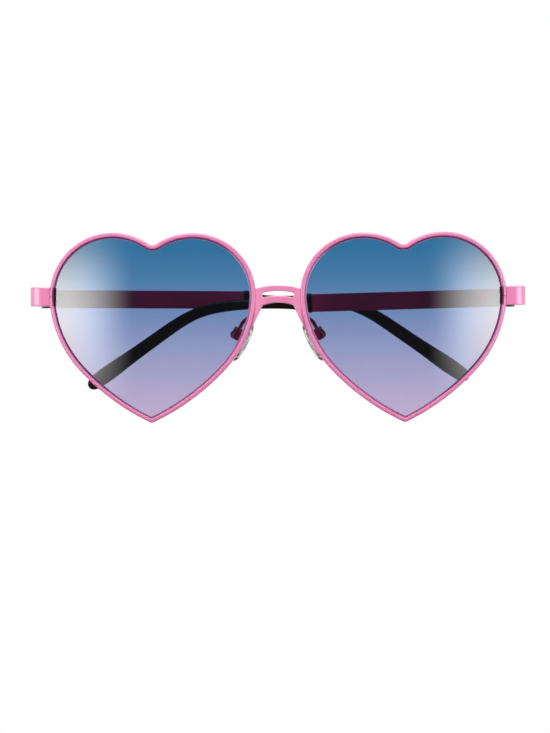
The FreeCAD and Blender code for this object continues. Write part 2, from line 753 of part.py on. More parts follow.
def sunglasses():
    """Every piece by name."""
    pieces = {"bridge": bridge()}
    pairs = {
        "eyewire": eyewire(),
        "lens": lens(),
        "endpiece": endpiece(),
        "upper_closing_block": upper_block(),
        "lower_closing_block": lower_block(),
        "lock_screw": lock_screw(),
        "front_hinge_leaf": front_leaf(),
        "hinge_screw": hinge_screw(),
        "pad_arm": pad_arm(),
        "pad_box": on_pad(pad_box()),
        "pad_screw": on_pad(pad_screw()),
        "pad_core": on_pad(pad_core()),
        "nose_pad": on_pad(nose_pad()),
    }
    for name, shape in pairs.items():
        pieces["left_" + name] = shape
        pieces["right_" + name] = mirrored(shape)
    leaf = temple_leaf()
    pieces["left_temple_hinge_leaf"] = folded(leaf, left_fold, 0)
    pieces["right_temple_hinge_leaf"] = mirrored(folded(leaf, right_fold, 0))
    for name, shape in {"temple_bar": temple_bar(), "temple_tip": temple_tip()}.items():
        pieces["left_" + name] = folded(shape, left_fold, left_droop)
        pieces["right_" + name] = mirrored(folded(shape, right_fold, right_droop))
    return pieces


os.makedirs("parts", exist_ok=True)
for name, shape in sunglasses().items():
    shape.exportStep(os.path.join("parts", name + ".step"))
    print(name, len(shape.Solids), shape.isValid(), round(shape.Volume, 3))
print("hinge axis at", hinge)
print("pad pivot at", pad_place.multVec(pivot), "along", pad_place.Rotation.multVec(backwards))
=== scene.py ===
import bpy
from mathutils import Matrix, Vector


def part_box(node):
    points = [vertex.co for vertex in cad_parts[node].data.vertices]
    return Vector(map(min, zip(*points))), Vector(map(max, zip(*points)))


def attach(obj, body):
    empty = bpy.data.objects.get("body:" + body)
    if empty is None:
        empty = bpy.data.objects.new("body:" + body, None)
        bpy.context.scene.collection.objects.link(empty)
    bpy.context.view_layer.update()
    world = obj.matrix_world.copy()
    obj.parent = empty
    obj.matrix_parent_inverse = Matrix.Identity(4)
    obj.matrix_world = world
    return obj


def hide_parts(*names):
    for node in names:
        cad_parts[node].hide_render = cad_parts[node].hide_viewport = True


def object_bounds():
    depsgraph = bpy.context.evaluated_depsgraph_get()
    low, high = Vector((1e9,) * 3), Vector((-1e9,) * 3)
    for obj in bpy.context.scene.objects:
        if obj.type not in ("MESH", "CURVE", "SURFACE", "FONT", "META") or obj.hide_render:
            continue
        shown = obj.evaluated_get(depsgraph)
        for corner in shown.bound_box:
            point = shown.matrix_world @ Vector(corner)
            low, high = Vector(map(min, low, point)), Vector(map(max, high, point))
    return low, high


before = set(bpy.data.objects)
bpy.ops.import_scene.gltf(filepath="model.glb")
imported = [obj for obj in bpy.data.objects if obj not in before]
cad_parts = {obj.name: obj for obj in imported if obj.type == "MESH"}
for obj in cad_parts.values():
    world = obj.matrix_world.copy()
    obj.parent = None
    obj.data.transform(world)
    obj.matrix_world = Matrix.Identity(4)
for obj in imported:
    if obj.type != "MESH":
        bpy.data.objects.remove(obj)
cad_box = [list(corner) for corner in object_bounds()]

import math

import bmesh
import bpy
from bpy.props import FloatProperty, FloatVectorProperty, PointerProperty
from mathutils import Matrix

bl_info = {
    "name": "Heart Shaped Sunglasses",
    "version": (1, 0, 0),
    "blender": (4, 5, 0),
    "location": "3D View > Sidebar > Sunglasses",
    "description": "Finishes, nose pads and studio for heart shaped sunglasses with folding temples",
    "category": "Object",
}

SIDES = {"left": 1, "right": -1}
MM = 0.001
WHITE = (1, 1, 1, 1)
BLACK = (0, 0, 0, 1)

# Size of the grain in each finish, and its depth where it stands out

DRIFT_SIZE = 9 * MM            # slow change in the sprayed pink
PEEL_SIZE = 0.5 * MM           # orange peel of the sprayed pink
PEEL_DEPTH = 0.0015 * MM
EDGE_SHADE_PATCH_SIZE = 2.5 * MM            # patches in the painted shade on the plates' upper and lower edges
POOL_SIZE = 1.5 * MM           # pools of enamel on the small fittings
BRUSH_SIZE = 0.4 * MM          # brush marks in that enamel
BRUSH_DEPTH = 0.004 * MM
TURNING_SIZE = 0.12 * MM       # turning marks on the screws
TURNING_DEPTH = 0.003 * MM
GRINDING_SIZE = 0.4 * MM       # grinding marks on the lenses' edges
GRINDING_DEPTH = 0.003 * MM
CLOUD_SIZE = 5 * MM            # cloud in the acetate's gloss
TUMBLING_SIZE = 0.3 * MM       # tumbling marks on the acetate
TUMBLING_DEPTH = 0.001 * MM
SKIN_SIZE = 0.8 * MM           # satin skin of the silicone
SKIN_DEPTH = 0.004 * MM
FLOW_SIZE = 1.2 * MM           # flow marks in the pads' inserts
FLOW_DEPTH = 0.01 * MM

# Least and most roughness of each finish, where it isn't even

SPRAY_ROUGHNESS = (0.27, 0.39)
TEMPLE_ROUGHNESS = (0.30, 0.42)
RASPBERRY_ROUGHNESS = (0.28, 0.42)
PLUM_ROUGHNESS = (0.42, 0.54)
STEEL_ROUGHNESS = (0.28, 0.48)
GRINDING_ROUGHNESS = (0.4, 0.6)
ACETATE_ROUGHNESS = (0.16, 0.28)
SILICONE_ROUGHNESS = (0.04, 0.12)
PLASTIC_ROUGHNESS = (0.1, 0.2)

# Gloss and clearness of the finishes

LACQUER_INDEX = 2.3
LACQUER_ROUGHNESS = 0.42
PLATE_LACQUER = 1.0            # share of the lacquer on the bridge and the end pieces
EYEWIRE_LACQUER = 0.08         # share of the lacquer on the eyewires
TEMPLE_GLOSS = 0.2
RASPBERRY_GLOSS = 0.2
PLUM_GLOSS = 0.05
GRINDING_GLOSS = 0.1
ACETATE_GLOSS = 0.12
SILICONE_INDEX = 1.41
SILICONE_CLEARNESS = 0.92
PLASTIC_INDEX = 1.49

# Second colour of each finish, as a share of its first

DEEPER_POWER = 1.15            # the pink's second colour is a power of its first, times a share
DEEPER_SHARE = 0.95
RASPBERRY_POOL = 0.7
PLUM_POOL = 0.6
STEEL_GRAIN = 0.55
ACETATE_CLOUD = 2.2
SILICONE_SKIN = 0.93
PLASTIC_FLOW = 0.85

# Where the enamel and the lenses change colour, and where shade is painted on them

DRIFT_TURN = (0.35, 0.75)      # levels of the noise where the pink grows deeper
DRIFT_MOST = 0.35              # how far it goes towards its second colour
PLATE_EDGE_TURN = (0.3, 0.75)  # how much a plate's surface looks up or down where its painted edge shade begins
EDGE_SHADE_PATCH_TURN = (0.2, 0.7)          # levels of the noise where an edge's painted shade grows stronger
EDGE_SHADE_SHARE = (0.4, 0.8)         # least and most of the painted shade colour on an edge
INNER_TURN = (0.05, 0.3)       # how much a temple's surface looks forwards where its inner face and its painted shade begin
LIP_TURN = (0.25, 0.6)         # how much an eyewire's surface looks to the lens where its lip begins
CLAMP_LIP = 0.5                # how much sooner the lip begins at the closing blocks
TINT_HEIGHTS = (0.06, 0.36, 0.56, 0.75, 0.93)    # tip to top, as shares of a lens's height
SMOKE_START = 13 * MM          # from a lens's outermost point
SMOKE_END = 3 * MM
LENS_EDGE_FACING = 0.9         # a lens's faces look forwards or backwards more than this, its edge less
SHADE_RISE = 0.8               # how much up counts against outwards, where shade is painted on the eyewires' lips and the lens edges
SHADE_TURN = (-0.25, 0.15)     # where that sum goes from painted light to painted shade
CLAMP_TURN = (0.8, 0.9)        # where that sum reaches the closing blocks
CLAMP_FADE = (-0.2 * MM, 0.1 * MM)    # where the blocks' painted shade ends on the eyewire, past the end piece's height

# Forms of the pads and the stage

PAD_RINGS = 14
PAD_STEPS = 40
FLOOR_STEPS = 96
FLOOR_GAP = 0.02 * MM
FLOOR_GREY = (0.45, 0.45, 0.45, 1)
FLOOR_FADE = (0.25, 0.9)       # where the floor runs out into white, as shares of its radius
ROOM_TURN = (-0.1, 0.25)       # directions where the room goes from dim in front to white behind
INNER_FADE = (0.03, 0.35)      # edges of a softbox, as shares of its width and height
OUTER_FADE = (0.4, 0.9)
OUTER_LEVEL = 0.6
TOP_FADE = (0.37, 0.92)
BOTTOM_FADE = (-0.25, 0.6)


# Settings that a user would change

def colour(name, description, default):
    """A colour setting."""
    return FloatVectorProperty(name=name, description=description, default=default,
                               subtype="COLOR", size=3, min=0, max=1)


def length(name, description, default):
    """A length setting in metres."""
    return FloatProperty(name=name, description=description, default=default, unit="LENGTH", min=0)


def coordinate(name, description, default):
    """A place along an axis, in metres."""
    return FloatProperty(name=name, description=description, default=default, unit="LENGTH")


def angle(name, description, degrees):
    """An angle setting, given in degrees."""
    return FloatProperty(name=name, description=description, default=math.radians(degrees),
                         subtype="ANGLE")


def number(name, description, default, low=0.0, high=100.0):
    """A plain number setting."""
    return FloatProperty(name=name, description=description, default=default, min=low, max=high)


class EnamelSettings(bpy.types.PropertyGroup):
    """Colours of the painted metal and the screws, and of the shade painted on the metal."""
    plate: colour("Plates", "Enamel of the bridge, the end pieces and the temples' outer faces",
                  (0.880, 0.210, 0.455))
    eyewire: colour("Eyewires", "Enamel of the eyewires", (0.760, 0.225, 0.440))
    # painted shade in deep raspberry for the temples' inner faces and the pad holders, which lie behind
    # the lenses
    inside: colour("Inside", "Enamel of the temples' inner faces and the pad holders",
                   (0.80, 0.035, 0.115))
    # painted shade for the plates' upper and lower edges, laid on in random patches
    plate_edge_shade: colour("Plate edge shade", "Enamel on the plates' edges, where it is thin", (0.420, 0.180, 0.300))
    lip: colour("Lip", "Shaded lip of the eyewires' grooves", (0.340, 0.120, 0.270))
    # painted shade in dark plum for the closing blocks, the hinge leaves and the eyewires at the clamp
    block: colour("Blocks", "Enamel of the closing blocks and the hinge leaves", (0.090, 0.008, 0.045))
    screw: colour("Screws", "Darkened steel of the screws", (0.16, 0.13, 0.15))


class LensSettings(bpy.types.PropertyGroup):
    """Tint of the lenses from top to tip."""
    top: colour("Top", "Tint under the lobes' tops", (0.038, 0.209, 0.430))
    upper: colour("Upper", "Tint above the temples", (0.087, 0.255, 0.499))
    middle: colour("Middle", "Tint at half height", (0.212, 0.321, 0.609))
    lower: colour("Lower", "Tint below the nose pads", (0.378, 0.424, 0.709))
    tip: colour("Tip", "Tint at the heart's tip", (0.649, 0.537, 0.794))
    smoke: colour("Smoke", "Share of the tint left at the temple side", (1.0, 0.70, 0.55))
    # painted shade of the eyewire's groove on a lens's edge at the temple side, and paler painted light
    # on it at the nose side
    edge: colour("Edge", "Edge in the eyewire, on the temple side", (0.210, 0.080, 0.190))
    nose_edge: colour("Nose edge", "Edge in the eyewire, on the nose side", (0.42, 0.26, 0.44))
    index: number("Index", "Refractive index of the lens", 2.15, 1, 2.5)


class TempleSettings(bpy.types.PropertyGroup):
    """Finish of the temple tips."""
    tip: colour("Tip", "Acetate of the temple tips", (0.010, 0.006, 0.006))


class PadSettings(bpy.types.PropertyGroup):
    """Shape and finish of the nose pads."""
    length: length("Length", "Pad's length", 12.2 * MM)
    width: length("Width", "Pad's width at its widest", 6.2 * MM)
    thickness: length("Thickness", "Pad's thickness at its middle", 1.6 * MM)
    rise: length("Rise", "Pad's middle above the middle of its CAD solid, along the pad", 0.4 * MM)
    tilt: angle("Tilt", "How far the lower ends stand apart", 28)
    splay: angle("Splay", "How far the rear edges stand apart", 22)
    fullness: number("Fullness", "0 is a plain ellipsoid, 1 a slab", 0.5, 0, 0.9)
    drop: number("Drop", "How much narrower the upper end is", 0.12, 0, 0.5)
    silicone: colour("Silicone", "Clear silicone", (0.90, 0.90, 0.92))


class StageSettings(bpy.types.PropertyGroup):
    """Camera and light."""
    distance: length("Distance", "Camera from the front of the eyewires", 2.5)
    view_height: length("View height", "Height of the picture at the front of the eyewires", 0.2139)
    aside: coordinate("Aside", "Camera's place across", -0.95 * MM)
    up: coordinate("Up", "Camera's place in height", -11.5 * MM)
    roll: angle("Roll", "Turn of the camera about its view", 0.2)
    floor_radius: length("Floor radius", "Radius of the floor", 0.5)
    softbox: number("Softboxes", "Brightness of the two softboxes beside the camera", 5.2)
    softbox_aside: length("Softbox aside", "Middle between the softboxes, towards the left lens", 0.008)
    softbox_inner: length("Softbox inner edge", "Softboxes' inner edges from their middle", 0.148)
    softbox_outer: length("Softbox outer edge", "Softboxes' outer edges from their middle", 0.628)
    softbox_far: length("Softbox far", "Softboxes' inner edges in front of the eyewires", 0.5)
    softbox_near: length("Softbox near", "Softboxes' outer edges in front of the eyewires", 0.1)
    softbox_height: length("Softbox height", "Height of a softbox", 0.49)
    softbox_rise: length("Softbox rise", "Softboxes' middles above the origin", 0.075)
    key: number("Key light", "Light from above the front, where 1 shows a colour as written", 0.85)
    key_height: angle("Key height", "Height of the key light above the floor", 66)
    key_size: angle("Key size", "Width of the key light as the object sees it", 24)
    fill: number("Fill", "Brightness of the room in front", 0.03, 0, 1)
    floor_glow: number("Floor", "Share of the floor's white that no shadow takes away", 0.7, 0, 1)


# Shader maths

class Value:
    """One socket of a node tree; arithmetic on it adds Math nodes."""

    def __init__(self, nodes, socket):
        self.nodes = nodes
        self.socket = socket

    def math(self, operation, first, second=0):
        """A Math node on one or two values."""
        return self.nodes.add("ShaderNodeMath", {"operation": operation}, {0: first, 1: second})

    def __add__(self, other):
        return self.math("ADD", self, other)

    def __sub__(self, other):
        return self.math("SUBTRACT", self, other)

    def __rsub__(self, other):
        return self.math("SUBTRACT", other, self)

    def __mul__(self, other):
        return self.math("MULTIPLY", self, other)

    def __truediv__(self, other):
        return self.math("DIVIDE", self, other)

    def __rtruediv__(self, other):
        return self.math("DIVIDE", other, self)

    def __neg__(self):
        return self * -1

    def __abs__(self):
        return self.math("ABSOLUTE", self)

    __radd__ = __add__
    __rmul__ = __mul__


def socket_named(sockets, key):
    """A socket by its number, identifier or name."""
    if isinstance(key, int):
        return sockets[key]
    return next(socket for socket in sockets if key in (socket.identifier, socket.name))


def set_stops(ramp, stops):
    """Gives a ramp its places and colours."""
    while len(ramp.elements) < len(stops):
        ramp.elements.new(1)
    for element, (place, tint) in zip(ramp.elements, stops):
        element.position = place
        element.color = opaque(tint)


class Nodes:
    """Adds nodes to the tree of a material or a world."""

    def __init__(self, owner):
        owner.use_nodes = True
        self.owner = owner
        self.tree = owner.node_tree
        self.tree.nodes.clear()

    def add(self, kind, settings, inputs, output=0):
        """Adds a node, sets it up, fills its sockets and gives one of its outputs, if it has any."""
        node = self.tree.nodes.new(kind)
        for name, setting in settings.items():
            if name == "stops":
                set_stops(node.color_ramp, setting)
            else:
                setattr(node, name, setting)
        for key, given in inputs.items():
            socket = socket_named(node.inputs, key)
            if isinstance(given, Value):
                self.tree.links.new(given.socket, socket)
            else:
                socket.default_value = given
        if node.outputs:
            return Value(self, socket_named(node.outputs, output))


def opaque(tint):
    """A colour with full alpha."""
    return (*tint, 1)


def scaled(tint, share):
    """A darker or paler colour with full alpha."""
    return opaque(part * share for part in tint)


def mixed(nodes, share, first, second, blend="MIX"):
    """A colour between two others, or one blended with the other in another way."""
    return nodes.add("ShaderNodeMix", {"data_type": "RGBA", "blend_type": blend},
                     {"Factor_Float": share, "A_Color": first, "B_Color": second}, "Result_Color")


def between(value, low, high):
    """A number that goes evenly from low to high as a value goes from 0 to 1."""
    return low + value * (high - low)


def ramped(nodes, value, low, high, start=0.0, end=1.0):
    """A smooth step from one level to another."""
    return nodes.add("ShaderNodeMapRange", {"interpolation_type": "SMOOTHSTEP"},
                     {"Value": value, "From Min": low, "From Max": high, "To Min": start, "To Max": end})


def noise(nodes, place, size, detail=2.0):
    """Noise whose grains are about this many metres across, from 0 to 1."""
    return nodes.add("ShaderNodeTexNoise", {},
                     {"Vector": place, "Scale": 1 / size, "Detail": detail}, "Fac")


def coordinates(nodes, kind):
    """One set of texture coordinates."""
    return nodes.add("ShaderNodeTexCoord", {}, {}, kind)


def rest_place(nodes):
    """Place on the piece in the row frame at rest."""
    return coordinates(nodes, "Object")


def rest_normal(nodes):
    """Direction that the surface looks in, at rest."""
    return coordinates(nodes, "Normal")


def part_of(nodes, vector, axis):
    """One coordinate of a vector."""
    return nodes.add("ShaderNodeSeparateXYZ", {}, {"Vector": vector}, axis)


def vector_maths(nodes, operation, first, second=(0, 0, 0), output=0):
    """A Vector Math node on one or two vectors."""
    return nodes.add("ShaderNodeVectorMath", {"operation": operation}, {0: first, 1: second}, output)


def ray(nodes, fact):
    """One fact about the ray of light, such as whether the camera sees by it."""
    return nodes.add("ShaderNodeLightPath", {}, {}, fact)


def bumped(nodes, height, depth):
    """Normal of a surface whose height varies by this many metres."""
    return nodes.add("ShaderNodeBump", {}, {"Strength": 1.0, "Distance": depth, "Height": height})


def glowing(nodes, strength):
    """White light from a surface."""
    return nodes.add("ShaderNodeEmission", {}, {"Color": WHITE, "Strength": strength})


def ended(nodes, shader):
    """Ends a material in a shader and gives the material."""
    nodes.add("ShaderNodeOutputMaterial", {}, {"Surface": shader})
    return nodes.owner


def principled(nodes, inputs):
    """Ends a material in a Principled shader and gives the material."""
    return ended(nodes, nodes.add("ShaderNodeBsdfPrincipled", {}, inputs))


# Finishes

def pink(nodes, tint):
    """Enamel's pink, a little deeper where more was sprayed."""
    drift = ramped(nodes, noise(nodes, rest_place(nodes), DRIFT_SIZE), *DRIFT_TURN)
    deeper = opaque(part ** DEEPER_POWER * DEEPER_SHARE for part in tint)
    return mixed(nodes, drift * DRIFT_MOST, opaque(tint), deeper)


def sprayed(nodes, tint, lacquer):
    """Clear lacquer over sprayed enamel with a faint orange peel."""
    peel = noise(nodes, rest_place(nodes), PEEL_SIZE)
    return principled(nodes, {
        "Base Color": tint,
        "Roughness": between(peel, *SPRAY_ROUGHNESS),
        "Normal": bumped(nodes, peel, PEEL_DEPTH),
        "Coat Weight": lacquer,
        "Coat Roughness": LACQUER_ROUGHNESS,
        "Coat IOR": LACQUER_INDEX,
    })


def front_enamel(settings):
    """Enamel of the bridge and the end pieces, with painted shade in patches on their upper and lower
    edges.
    """
    nodes = Nodes(bpy.data.materials.new("pink_enamel"))
    # painted shade where the surface looks up or down, stronger in random patches
    edge = ramped(nodes, abs(part_of(nodes, rest_normal(nodes), "Z")), *PLATE_EDGE_TURN)
    edge_shade_patches = ramped(nodes, noise(nodes, rest_place(nodes), EDGE_SHADE_PATCH_SIZE), *EDGE_SHADE_PATCH_TURN, *EDGE_SHADE_SHARE)
    tint = mixed(nodes, edge * edge_shade_patches, pink(nodes, settings.plate), opaque(settings.plate_edge_shade))
    return sprayed(nodes, tint, PLATE_LACQUER)


def beside_end_piece(nodes, place, side):
    """1 within the height of an end piece, 0 above and below it."""
    bottom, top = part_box(f"{side}_endpiece")
    reach = (top.z - bottom.z) / 2
    from_middle = abs(part_of(nodes, place, "Z") - (bottom.z + top.z) / 2)
    return ramped(nodes, from_middle, reach + CLAMP_FADE[0], reach + CLAMP_FADE[1], 1, 0)


def eyewire_enamel(settings, side):
    """Enamel of an eyewire, with painted shade on its lip above and at the temple, and darker painted
    shade in plum at the clamp.
    """
    nodes = Nodes(bpy.data.materials.new(f"{side}_eyewire_enamel"))
    place = rest_place(nodes)
    low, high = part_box(f"{side}_lens")
    outwards = vector_maths(nodes, "SUBTRACT", place, (low + high) / 2)
    away = vector_maths(nodes, "NORMALIZE", outwards)
    facing = vector_maths(nodes, "DOT_PRODUCT", away, rest_normal(nodes), "Value")
    to_temple = part_of(nodes, away, "X") * SIDES[side] + part_of(nodes, away, "Z") * SHADE_RISE
    # painted shade: dark plum at the clamp, and the lip colour on the lip above and at the temple
    clamp = beside_end_piece(nodes, place, side) * ramped(nodes, to_temple, *CLAMP_TURN)
    lip = ramped(nodes, clamp * CLAMP_LIP - facing, *LIP_TURN) * ramped(nodes, to_temple, *SHADE_TURN)
    shaded = mixed(nodes, clamp, opaque(settings.lip), opaque(settings.block))
    tint = mixed(nodes, lip, pink(nodes, settings.eyewire), shaded)
    return sprayed(nodes, tint, EYEWIRE_LACQUER)


def temple_enamel(settings):
    """Pink enamel outside and on the edges, with painted shade in deep raspberry on the inner face."""
    nodes = Nodes(bpy.data.materials.new("temple_enamel"))
    # painted shade on the face that looks forwards at rest
    inner = ramped(nodes, -part_of(nodes, rest_normal(nodes), "Y"), *INNER_TURN)
    peel = noise(nodes, rest_place(nodes), PEEL_SIZE)
    return principled(nodes, {
        "Base Color": mixed(nodes, inner, pink(nodes, settings.plate), opaque(settings.inside)),
        "Roughness": between(peel, *TEMPLE_ROUGHNESS),
        "Normal": bumped(nodes, peel, PEEL_DEPTH),
        "Specular IOR Level": TEMPLE_GLOSS,
    })


def fitting_enamel(name, tint, pooled, roughness, gloss):
    """Brushed enamel of the small fittings, darker where it pooled."""
    nodes = Nodes(bpy.data.materials.new(name))
    place = rest_place(nodes)
    pool = noise(nodes, place, POOL_SIZE)
    return principled(nodes, {
        "Base Color": mixed(nodes, pool, opaque(tint), scaled(tint, pooled)),
        "Roughness": between(pool, *roughness),
        "Normal": bumped(nodes, noise(nodes, place, BRUSH_SIZE), BRUSH_DEPTH),
        "Specular IOR Level": gloss,
    })


def holder_shade_enamel(settings):
    """Painted shade in raspberry on the pad holders, with the fittings' pools and brush marks."""
    return fitting_enamel("raspberry_shade_enamel", settings.inside,
                          RASPBERRY_POOL, RASPBERRY_ROUGHNESS, RASPBERRY_GLOSS)


def block_shade_enamel(settings):
    """Dull dark plum painted as shade on the blocks and the hinge leaves behind the end piece."""
    return fitting_enamel("plum_enamel", settings.block, PLUM_POOL, PLUM_ROUGHNESS, PLUM_GLOSS)


def screw_steel(settings):
    """Turned steel, darkened."""
    nodes = Nodes(bpy.data.materials.new("screw_steel"))
    grain = noise(nodes, rest_place(nodes), TURNING_SIZE, detail=4.0)
    return principled(nodes, {
        "Base Color": mixed(nodes, grain, opaque(settings.screw), scaled(settings.screw, STEEL_GRAIN)),
        "Metallic": 1.0,
        "Roughness": between(grain, *STEEL_ROUGHNESS),
        "Normal": bumped(nodes, grain, TURNING_DEPTH),
    })


def lens_tint(settings, low, high):
    """Clear lens dyed from the top down, smokier at its temple side."""
    nodes = Nodes(bpy.data.materials.new("tinted_lens"))
    place = rest_place(nodes)
    share = (part_of(nodes, place, "Z") - low.z) / (high.z - low.z)
    tints = (settings.tip, settings.lower, settings.middle, settings.upper, settings.top)
    stops = list(zip(TINT_HEIGHTS, tints))
    dye = nodes.add("ShaderNodeValToRGB", {"stops": stops}, {"Fac": share}, "Color")
    across = abs(part_of(nodes, place, "X"))
    temple_side = ramped(nodes, across, high.x - SMOKE_START, high.x - SMOKE_END)
    return principled(nodes, {
        "Base Color": mixed(nodes, temple_side, dye, opaque(settings.smoke), "MULTIPLY"),
        "Roughness": 0.0,
        "IOR": settings.index,
        "Transmission Weight": 1.0,
    })


def lens_edge(settings):
    """Ground edge of a lens, with painted shade where it looks up or to the temple and paler painted
    light where it looks to the nose.
    """
    nodes = Nodes(bpy.data.materials.new("lens_edge"))
    place = rest_place(nodes)
    across = part_of(nodes, place, "X")
    normal = nodes.add("ShaderNodeNewGeometry", {}, {}, "True Normal")
    outwards = across.math("SIGN", across) * part_of(nodes, normal, "X")
    shaded = ramped(nodes, outwards + part_of(nodes, normal, "Z") * SHADE_RISE, *SHADE_TURN)
    grinding = noise(nodes, place, GRINDING_SIZE)
    return principled(nodes, {
        "Base Color": mixed(nodes, shaded, opaque(settings.nose_edge), opaque(settings.edge)),
        "Roughness": between(grinding, *GRINDING_ROUGHNESS),
        "Normal": bumped(nodes, grinding, GRINDING_DEPTH),
        "Specular IOR Level": GRINDING_GLOSS,
    })


def tip_acetate(settings):
    """Tumbled black acetate with a faint cloud in its gloss."""
    nodes = Nodes(bpy.data.materials.new("black_acetate"))
    place = rest_place(nodes)
    cloud = noise(nodes, place, CLOUD_SIZE, detail=3.0)
    return principled(nodes, {
        "Base Color": mixed(nodes, cloud, opaque(settings.tip), scaled(settings.tip, ACETATE_CLOUD)),
        "Roughness": between(cloud, *ACETATE_ROUGHNESS),
        "Normal": bumped(nodes, noise(nodes, place, TUMBLING_SIZE), TUMBLING_DEPTH),
        "Specular IOR Level": ACETATE_GLOSS,
    })


def pad_silicone(settings):
    """Clear silicone with a satin skin."""
    nodes = Nodes(bpy.data.materials.new("clear_silicone"))
    clear = settings.silicone
    skin = noise(nodes, rest_place(nodes), SKIN_SIZE, detail=3.0)
    return principled(nodes, {
        "Base Color": mixed(nodes, skin, opaque(clear), scaled(clear, SILICONE_SKIN)),
        "Roughness": between(skin, *SILICONE_ROUGHNESS),
        "Normal": bumped(nodes, skin, SKIN_DEPTH),
        "IOR": SILICONE_INDEX,
        "Transmission Weight": SILICONE_CLEARNESS,
    })


def core_plastic(settings):
    """Clear hard plastic of the pads' inserts."""
    nodes = Nodes(bpy.data.materials.new("clear_plastic"))
    clear = settings.silicone
    flow = noise(nodes, rest_place(nodes), FLOW_SIZE)
    return principled(nodes, {
        "Base Color": mixed(nodes, flow, opaque(clear), scaled(clear, PLASTIC_FLOW)),
        "Roughness": between(flow, *PLASTIC_ROUGHNESS),
        "Normal": bumped(nodes, flow, FLOW_DEPTH),
        "IOR": PLASTIC_INDEX,
        "Transmission Weight": 1.0,
    })


# Pieces

def dress(material, *names):
    """Gives pieces of the frame a finish."""
    for name in names:
        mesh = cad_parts[name].data
        mesh.materials.clear()
        mesh.materials.append(material)


def both(*names):
    """Names of pieces on the left and the right."""
    return [f"{side}_{name}" for name in names for side in SIDES]


def add_object(scene, name, form, material):
    """Adds an object made from a form in mesh code."""
    data = bpy.data.meshes.new(name)
    form.to_mesh(data)
    form.free()
    data.materials.append(material)
    made = bpy.data.objects.new(name, data)
    scene.collection.objects.link(made)
    return made


class SUNGLASSES_OT_front(bpy.types.Operator):
    """Enamel the front with painted shade on its edges, lips and clamps, paint shade on the blocks,
    hinge leaves and pad holders, and darken the screws
    """
    bl_idname = "sunglasses.front"
    bl_label = "Front"

    def execute(self, context):
        settings = context.scene.sunglasses_enamel
        dress(front_enamel(settings), "bridge", *both("endpiece"))
        for side in SIDES:
            dress(eyewire_enamel(settings, side), f"{side}_eyewire")
        dress(holder_shade_enamel(settings), *both("pad_arm", "pad_box", "pad_screw"))
        dress(block_shade_enamel(settings), *both("upper_closing_block", "lower_closing_block",
                                            "front_hinge_leaf", "temple_hinge_leaf"))
        dress(screw_steel(settings), *both("lock_screw", "hinge_screw"))
        return {"FINISHED"}


class SUNGLASSES_OT_lenses(bpy.types.Operator):
    """Dye the two lenses and finish their edges"""
    bl_idname = "sunglasses.lenses"
    bl_label = "Lenses"

    def execute(self, context):
        settings = context.scene.sunglasses_lens
        low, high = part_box("left_lens")
        dress(lens_tint(settings, low, high), *both("lens"))
        edge = lens_edge(settings)
        for name in both("lens"):
            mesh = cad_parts[name].data
            mesh.materials.append(edge)
            for face in mesh.polygons:
                # the edge faces of each lens take the lens_edge material with its painted light and
                # shade
                face.material_index = int(abs(face.normal.y) < LENS_EDGE_FACING)
        return {"FINISHED"}


class SUNGLASSES_OT_temples(bpy.types.Operator):
    """Finish the temple bars and their tips"""
    bl_idname = "sunglasses.temples"
    bl_label = "Temples"

    def execute(self, context):
        dress(temple_enamel(context.scene.sunglasses_enamel), *both("temple_bar"))
        dress(tip_acetate(context.scene.sunglasses_temple), *both("temple_tip"))
        return {"FINISHED"}


def bulge(share, fullness):
    """Sine or cosine pushed outwards, so that a round section fills out."""
    return math.copysign(abs(share) ** (1 - fullness), share)


def pad_ring(mesh, settings, hand, turn):
    """One ring of a pad's points, at an angle between its two broad faces."""
    reach = bulge(math.sin(turn), settings.fullness)
    out = bulge(math.cos(turn), settings.fullness) * settings.thickness / 2
    ring = []
    for step in range(PAD_STEPS):
        lie = 2 * math.pi * step / PAD_STEPS
        up = math.sin(lie) * reach
        wide = math.cos(lie) * reach * (1 - settings.drop * max(up, 0))
        ring.append(mesh.verts.new((hand * out, wide * settings.width / 2, up * settings.length / 2)))
    return ring


def pad_form(settings, hand):
    """Soft drop shaped pad about its middle: X away from the nose, Y backwards, Z up."""
    mesh = bmesh.new()
    rings = [pad_ring(mesh, settings, hand, math.pi * ring / PAD_RINGS) for ring in range(1, PAD_RINGS)]
    poles = [mesh.verts.new((hand * end * settings.thickness / 2, 0, 0)) for end in (1, -1)]
    for step in range(PAD_STEPS):
        after = (step + 1) % PAD_STEPS
        for first, second in zip(rings, rings[1:]):
            mesh.faces.new((first[step], second[step], second[after], first[after]))
        for pole, ring in zip(poles, (rings[0], rings[-1])):
            mesh.faces.new((pole, ring[step], ring[after]))
    bmesh.ops.recalc_face_normals(mesh, faces=mesh.faces)
    return mesh


def placed_pad(settings, side):
    """A pad's form, tilted and splayed about the middle of its CAD solid."""
    hand = SIDES[side]
    low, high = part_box(f"{side}_nose_pad")
    tilt = Matrix.Rotation(-hand * settings.tilt, 4, "Y")
    splay = Matrix.Rotation(-hand * settings.splay, 4, "Z")
    rise = Matrix.Translation((0, 0, settings.rise))
    form = pad_form(settings, hand)
    form.transform(Matrix.Translation((low + high) / 2) @ tilt @ splay @ rise)
    return form


class SUNGLASSES_OT_nose_pads(bpy.types.Operator):
    """Make the soft nose pads and finish their inserts"""
    bl_idname = "sunglasses.nose_pads"
    bl_label = "Nose pads"

    def execute(self, context):
        settings = context.scene.sunglasses_pad
        silicone = pad_silicone(settings)
        for side in SIDES:
            pad = add_object(context.scene, f"{side}_soft_pad", placed_pad(settings, side), silicone)
            pad.data.shade_smooth()
            pad.modifiers.new("Soft", "SUBSURF").render_levels = 1
            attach(pad, f"{side}_nose_pad")
            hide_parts(f"{side}_nose_pad")
        dress(core_plastic(settings), *both("pad_core"))
        return {"FINISHED"}


# Stage

